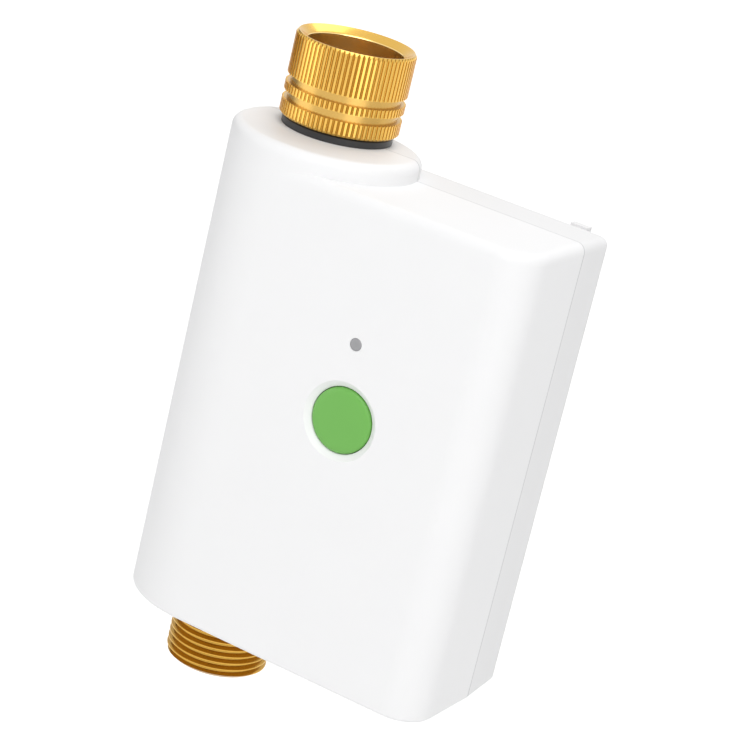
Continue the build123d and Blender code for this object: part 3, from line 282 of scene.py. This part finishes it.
seam_half = 0.13 * mm
seam_grey = (0.5, 0.5, 0.51)
# The rear half's darker white (0.85 against 0.9) is painted shade, and the door, its bars and the tray
# share it.
for node, pale in (("front_shell", 0.9), ("rear_shell", 0.85)):
    white = finish(node + "_white", (pale, pale, pale + 0.005), 0.5, bump=0.08, wear=0.01)
    depth = axes_of(white)[1]
    recoloured(white, depth.maths("ABSOLUTE", depth) < seam_half, seam_grey)
    dress(white, node)
rubber = finish("black_rubber", (0.03, 0.03, 0.03), 0.7, grain=6000.0, bump=0.1)
brushed = (1, 0.05, 1)
steel = finish("stainless", (0.6, 0.6, 0.62), 0.32, metallic=1.0, grain=5000.0, stretch=brushed, bump=0.05)
dress(rubber, "case_seal")
dress(steel, "case_screws")

# Battery door: a thin ABS plate, white as the rear half and painted the same shade darker, over a rubber
# ring and held by a lug at each end. Six raised bars near its lower end, 14 mm wide and 2.2 mm apart,
# give a fingertip its grip.
dress(white, "battery_door")
door_face = 17.7
door_x = 50.67
bar_count = 6
bar_size = (14.0, 0.7, 0.9)
bar_edge = 0.3
bar_step = 2.2
lowest_bar = -132.0
for number in range(bar_count):
    bar_place = Vector((door_x, door_face, lowest_bar + number * bar_step)) * mm
    bpy.ops.mesh.primitive_cube_add(size=mm, location=bar_place)
    bar = bpy.context.object
    bar.name = f"door_bar_{number}"
    bar.scale = bar_size
    bpy.ops.object.transform_apply(location=True, rotation=True, scale=True)
    bpy.ops.object.mode_set(mode="EDIT")
    bpy.ops.mesh.select_all(action="SELECT")
    bpy.ops.mesh.bevel(offset=bar_edge * mm, segments=3, affect="EDGES")
    bpy.ops.object.mode_set(mode="OBJECT")
    shaded(bar, 50)
    placed(bar, white, "door", "white_case")
dress(rubber, "battery_door_seal")

# Valve body and tailpiece: turned brass, duller than the nut because nothing polishes it. The ball is
# chromed and sits in two waxy PTFE rings, and the stem is stainless steel.
fine_turning = (0.03, 0.03, 1)
dull_brass = finish("thread_brass", (0.5, 0.27, 0.035), 0.3, metallic=1.0, grain=7000.0,
                    stretch=fine_turning, bump=0.05)
chrome = finish("chrome_ball", (0.78, 0.78, 0.8), 0.12, metallic=1.0, grain=2000.0, wear=0.02)
waxy = finish("white_ptfe", (0.88, 0.88, 0.86), 0.45, grain=900.0, bump=0.05, wear=0.02)
dress(dull_brass, "valve_body", "inlet_tailpiece")
dress(chrome, "valve_ball")
dress(waxy, "ball_seats")
dress(steel, "valve_stem")
dress(rubber, "joint_o_rings", "stem_o_rings", "outlet_seal")

# Outlet: brass, with the male 3/4 pipe thread below the case, 26.4 mm over its crests and of pitch 1.814
# mm. The valleys are painted darker than the crests, as painted shade. Above the thread come a plain neck,
# a flange and the part that plugs into the valve body, with a groove for its seal.
pitch = 1.814
crest, root = 13.22, 12.06
crest_flat = 0.3
bright_crest = 0.12
same_spot = 0.001 * mm
round_steps = 96
flank = pitch / 2 - crest_flat
outlet_end = -166.1
thread_top = -148.2
bore = 8.0


def drawn(name, spots):
    """A line drawn from point to point by extruding one vertex, left selected in edit mode."""
    bpy.ops.object.select_all(action="DESELECT")
    bpy.ops.mesh.primitive_plane_add(size=mm)
    made = bpy.context.object
    made.name = name
    bpy.ops.object.mode_set(mode="EDIT")
    bpy.ops.mesh.select_mode(type="VERT")
    bpy.ops.mesh.select_all(action="SELECT")
    bpy.ops.mesh.merge(type="CENTER")
    bpy.ops.transform.translate(value=spots[0])
    for here, there in zip(spots, spots[1:]):
        bpy.ops.mesh.extrude_region_move(TRANSFORM_OT_translate={"value": there - here})
    bpy.ops.mesh.select_all(action="SELECT")
    return made


def turned(name, points, steps, centre=None):
    """A solid turned from (radius, place) points in mm, about the hose axis or a line to the rear."""
    if centre:
        spots = [Vector((centre[0] + r, place, centre[1])) * mm for r, place in points]
        middle, axis = (centre[0] * mm, 0, centre[1] * mm), (0, 1, 0)
    else:
        spots = [Vector((r, 0, place)) * mm for r, place in points]
        middle, axis = (0, 0, 0), (0, 0, 1)
    made = drawn(name, spots + spots[:1])
    bpy.ops.mesh.remove_doubles(threshold=same_spot)
    bpy.ops.mesh.spin(steps=steps, angle=2 * math.pi, center=middle, axis=axis)
    bpy.ops.mesh.select_all(action="SELECT")
    bpy.ops.mesh.remove_doubles(threshold=same_spot)
    bpy.ops.mesh.normals_make_consistent(inside=False)
    bpy.ops.object.mode_set(mode="OBJECT")
    return made


def cut_with(piece, tool, operation):
    """Cuts a piece with a tool, or keeps what both share, and throws the tool away."""
    bpy.ops.object.select_all(action="DESELECT")
    bpy.context.view_layer.objects.active = piece
    piece.select_set(True)
    cut = piece.modifiers.new("cut", "BOOLEAN")
    cut.operation = operation
    cut.solver = "EXACT"
    cut.object = tool
    bpy.ops.object.modifier_apply(modifier=cut.name)
    bpy.data.objects.remove(tool, do_unlink=True)


helix_low, helix_turns = outlet_end - 2 * pitch, 13
tooth = ((root, 0), (root, crest_flat), (crest, crest_flat + flank), (crest, pitch - flank), (root, pitch))
thread = drawn("outlet_thread", [Vector((r, 0, helix_low + rise)) * mm for r, rise in tooth])
bpy.ops.object.mode_set(mode="OBJECT")
helix = thread.modifiers.new("helix", "SCREW")
helix.screw_offset = pitch * mm
helix.iterations = helix_turns
helix.steps = round_steps
helix.render_steps = round_steps
helix.use_merge_vertices = True
helix.merge_threshold = same_spot
bpy.ops.object.modifier_apply(modifier=helix.name)
bpy.ops.object.mode_set(mode="EDIT")
bpy.ops.mesh.select_all(action="SELECT")
bpy.ops.mesh.remove_doubles(threshold=same_spot)
up_axis = (0, 0, 1)
below_end = (outlet_end - 0.4) * mm
bpy.ops.mesh.bisect(plane_co=(0, 0, thread_top * mm), plane_no=up_axis, use_fill=True, clear_outer=True)
bpy.ops.mesh.select_all(action="SELECT")
bpy.ops.mesh.bisect(plane_co=(0, 0, below_end), plane_no=up_axis, use_fill=True, clear_inner=True)
bpy.ops.mesh.select_all(action="SELECT")
bpy.ops.mesh.normals_make_consistent(inside=False)
bpy.ops.object.mode_set(mode="OBJECT")
envelope = turned("thread_envelope", [
    (bore, thread_top + 1), (crest - 0.5, thread_top + 1), (crest + 0.1, thread_top - 0.5),
    (crest + 0.1, outlet_end + 1.1), (root - 0.2, outlet_end), (bore + 1.0, outlet_end),
    (bore, outlet_end + 1.0)], round_steps)
cut_with(thread, envelope, "INTERSECT")
shaded(thread, 30)
neck, pipe, plug_radius = 12.7, 11.6, 11.5
groove_radius, seal_low, seal_high = 10.3, -103.8, -102.4
seat_low, seat_high = -143.7, -140.7
flange_low, flange_high = -111.1, -108.1
tube_top = -94.1
tube = turned("outlet_neck", [
    (bore, thread_top), (neck, thread_top), (neck, seat_low), (13.95, seat_low), (14.35, seat_low + 0.4),
    (14.35, seat_high - 0.4), (13.95, seat_high), (pipe, seat_high), (pipe, flange_low), (14.0, flange_low),
    (14.0, flange_high), (plug_radius, flange_high), (plug_radius, seal_low), (groove_radius, seal_low),
    (groove_radius, seal_high), (plug_radius, seal_high), (plug_radius, tube_top - 0.4),
    (plug_radius - 0.4, tube_top), (bore, tube_top)], round_steps)
shaded(tube, 30)
cut_brass = finish("cut_brass", (0.62, 0.36, 0.07), 0.24, metallic=1.0, grain=7000.0, stretch=fine_turning)
x, y = axes_of(cut_brass)[:2]
# Below the crests the brass is painted darker: painted shade in the thread's valleys.
valley = x.maths("SQRT", x * x + y * y) < (crest - bright_crest) * mm
valley_painted_shade = (0.48, 0.28, 0.055)
recoloured(cut_brass, valley, valley_painted_shade)
placed(thread, cut_brass, "case", "thread_brass", "outlet_tube")
placed(tube, dull_brass, "case", "thread_brass", "outlet_tube")

# Gearbox and motor: two nylon halves with glass in them, three acetal gears on steel axles, and a small
# motor with a brass head. Screws hold the box to the valve body's pad and the motor to the box.
nylon = finish("grey_nylon", (0.15, 0.16, 0.17), 0.55, grain=1500.0, bump=0.12, wear=0.1)
acetal = finish("gear_acetal", (0.86, 0.84, 0.78), 0.35, grain=2500.0, bump=0.03, wear=0.02)
plated = finish("tin_plate", (0.64, 0.64, 0.62), 0.28, metallic=1.0, grain=3000.0, wear=0.06)
motor_brass = finish("motor_brass", (0.8, 0.52, 0.16), 0.3, metallic=1.0, grain=4000.0)
dress(nylon, "gearbox_base", "gearbox_cover")
dress(acetal, "output_gear", "compound_gear")
dress(steel, "gearbox_base_screws", "gearbox_cover_screws", "compound_axle", "motor_shaft", "motor_screws")
dress(motor_brass, "motor_pinion", "motor_gear_head")
dress(plated, "motor_can")

# Circuit board: green solder resist over copper tracks, with the switch, the lamp, the radio's can and
# the plugs soldered on. Two screws a side hold it to the front half of the case.
resist = empty_material("green_board")
layer = Wire(resist.node_tree)
spot = layer.node("TexCoord", output=3)
cells = {"voronoi_dimensions": "3D", "feature": "DISTANCE_TO_EDGE"}
tracks = layer.node("TexVoronoi", cells, Vector=spot, Scale=230.0) < 0.07
weave = layer.node("TexNoise", Vector=spot, Scale=5000.0)
etched = tracks.blend((0.012, 0.12, 0.04, 1), (0.03, 0.22, 0.08, 1))
green_paint = layer.node("BsdfPrincipled", Base_Color=etched, Roughness=0.25 + 0.15 * weave)
layer.node("OutputMaterial", Surface=green_paint)
black_part = finish("black_part", (0.022, 0.022, 0.024), 0.35, grain=3000.0, bump=0.03)
plug = finish("white_plug", (0.84, 0.83, 0.78), 0.45, grain=2500.0, bump=0.05, wear=0.02)
dress(resist, "main_board")
dress(black_part, "switch_body", "buffer_capacitor")
dress(plug, "switch_plunger", "status_led", "board_connectors")
dress(plated, "radio_module")
dress(steel, "board_screws")

# Battery bay: a white tray, four AA cells in plain dark sleeves with a copper-coloured band, plated
# contacts and coil springs. Leads in plain PVC run to the board.
cell_pitch = 50.5 * mm
band_share = 0.24
sleeve = empty_material("cell_wrap")
wrap = Wire(sleeve.node_tree)
place = wrap.node("TexCoord", output=3)
height = wrap.node("SeparateXYZ", output=2, Vector=place)
band = wrap.maths("FRACT", height * (1 / cell_pitch)) < band_share
speckle = wrap.node("TexNoise", Vector=place, Scale=3000.0)
printed = band.blend((0.035, 0.04, 0.045, 1), (0.5, 0.22, 0.07, 1))
film = wrap.node("BsdfPrincipled", Base_Color=printed, Roughness=0.22 + 0.12 * speckle)
wrap.node("OutputMaterial", Surface=film)
red_wire = finish("red_wire", (0.55, 0.04, 0.03), 0.45, grain=3000.0, bump=0.05)
black_wire = finish("black_wire", (0.03, 0.03, 0.03), 0.45, grain=3000.0, bump=0.05)
# The tray has the rear half's white, with its painted shade.
dress(white, "battery_tray")
dress(sleeve, "battery_cells")
dress(plated, "battery_contacts", "battery_springs")
dress(red_wire, "battery_leads")
dress(black_wire, "motor_leads")

# Collar: a black acetal ring in the top of the case, under the nut. It guides the tailpiece, and its
# upper edge is chamfered.
dress(finish("black_collar", (0.022, 0.022, 0.024), 0.38, grain=3000.0, bump=0.04), "inlet_collar")
dress(rubber, "inlet_washer")
dress(steel, "inlet_filter")

# Inlet nut: brass, turned from bar, 30 mm across, with 76 flutes round it and two smooth grooves. Its
# mouth is a funnel, its thread starts 6 mm down, and a lip at its foot holds it on the tailpiece. The
# flutes are painted darker as painted shade, and the bore lighter as painted light.
nut_top, nut_foot, nut_radius = 0.8, -19.9, 15.0
foot_edge = 0.6
groove_floor, groove_width = 13.8, 2.1
relief = 13.4
lip_bore, lip_top = 10.9, nut_foot + 3.2
nut_turns = 3
mouth_end = -3 * pitch
thread_foot = mouth_end - nut_turns * pitch
inside = [(14.2, nut_top), (12.5, nut_top - 1.2), (root, nut_top - 1.8)]
for number in range(nut_turns):
    start = mouth_end - number * pitch
    inside += [(root, start), (crest, start - flank), (crest, start - flank - crest_flat),
               (root, start - pitch + crest_flat)]
inside += [(root, thread_foot), (relief, thread_foot), (relief, lip_top), (lip_bore, lip_top),
           (lip_bore, nut_foot)]
outside = [(nut_radius - foot_edge, nut_foot), (nut_radius, nut_foot + foot_edge)]
for above_foot in (3.8, 7.9):
    groove_low = nut_foot + above_foot
    groove_high = groove_low + groove_width
    outside += [(nut_radius, groove_low), (groove_floor, groove_low),
                (groove_floor, groove_high), (nut_radius, groove_high)]
outside += [(nut_radius, nut_top - 0.8), (nut_radius - 0.55, nut_top)]
flutes = 76
nut = turned("nut", inside + outside, 2 * flutes)
flute_width, flute_depth = 0.68, 0.48
flute_radius = (flute_width ** 2 / 4 + flute_depth ** 2) / (2 * flute_depth)
cutter_length = 24
cutter_place = ((nut_radius - flute_depth + flute_radius) * mm, 0, (nut_top + nut_foot) / 2 * mm)
bpy.ops.mesh.primitive_cylinder_add(
    vertices=16, radius=flute_radius * mm, depth=cutter_length * mm, location=cutter_place)
cutter = bpy.context.object
bpy.ops.object.transform_apply(location=True, rotation=True, scale=True)
bpy.ops.object.mode_set(mode="EDIT")
bpy.ops.mesh.select_all(action="SELECT")
bpy.ops.mesh.spin(steps=flutes, dupli=True, angle=2 * math.pi, center=(0, 0, 0), axis=(0, 0, 1))
bpy.ops.mesh.select_all(action="SELECT")
bpy.ops.mesh.remove_doubles(threshold=same_spot)
bpy.ops.object.mode_set(mode="OBJECT")
cut_with(nut, cutter, "DIFFERENCE")
shaded(nut, 35)
bright_brass = finish("gold_brass", (0.78, 0.48, 0.11), 0.24, metallic=1.0, grain=7000.0,
                      stretch=fine_turning)
x, y, z = axes_of(bright_brass)
ring = x.maths("SQRT", x * x + y * y)
angle = x.maths("ARCTAN2", y, x)
flute = x.maths("MAXIMUM", x.maths("COSINE", angle * flutes), 0.0)
flute_painted_shade, groove_tone, bore_painted_light = (0.28, 0.14, 0.02), (0.58, 0.36, 0.1), (0.95, 0.7, 0.3)
flute_ring, bore_ring, groove_rings = 14.3, 12.2, (13, 14.2)
top_rim, groove_drop = 0.05, 5
knurled = (ring > flute_ring * mm) * (z < (nut_top - top_rim) * mm)
grooved = (ring > groove_rings[0] * mm) * (ring < groove_rings[1] * mm) * (z < (nut_top - groove_drop) * mm)
# Painted shade in the flutes: a dark brown at each flute's middle.
recoloured(bright_brass, flute * knurled, flute_painted_shade)
# The two turned grooves are coloured a darker brass.
recoloured(bright_brass, grooved, groove_tone)
# The bore is painted a lighter brass: painted light inside the nut.
recoloured(bright_brass, ring < bore_ring * mm, bore_painted_light)
placed(nut, bright_brass, "nut", "gold_brass", "inlet_nut")

# Button: a green cap with a rounded edge and a slight crown, in a dished ring of the front half. A rubber
# seal behind its flange springs it back.
button_place = (33.4, -80.9)
cap = turned("button_face", [
    (0, -27.95), (3.5, -27.92), (6.2, -27.83), (7.3, -27.72), (7.8, -27.52), (8.08, -27.2), (8.15, -26.8),
    (8.15, -25.5), (9.3, -25.5), (9.5, -25.3), (9.5, -24.7), (0, -24.7)], round_steps, button_place)
shaded(cap, 40)
green = finish("green_cap", (0.155, 0.45, 0.08), 0.42, grain=3000.0, bump=0.05, wear=0.02)
placed(cap, green, "button", "green_cap", "button_cap")
dress(rubber, "button_seal")

# Status light: a smoked clear rod from the board's lamp to the front, with its front edge rounded.
dress(finish("grey_light", (0.33, 0.33, 0.34), 0.25, grain=2000.0), "light_pipe")
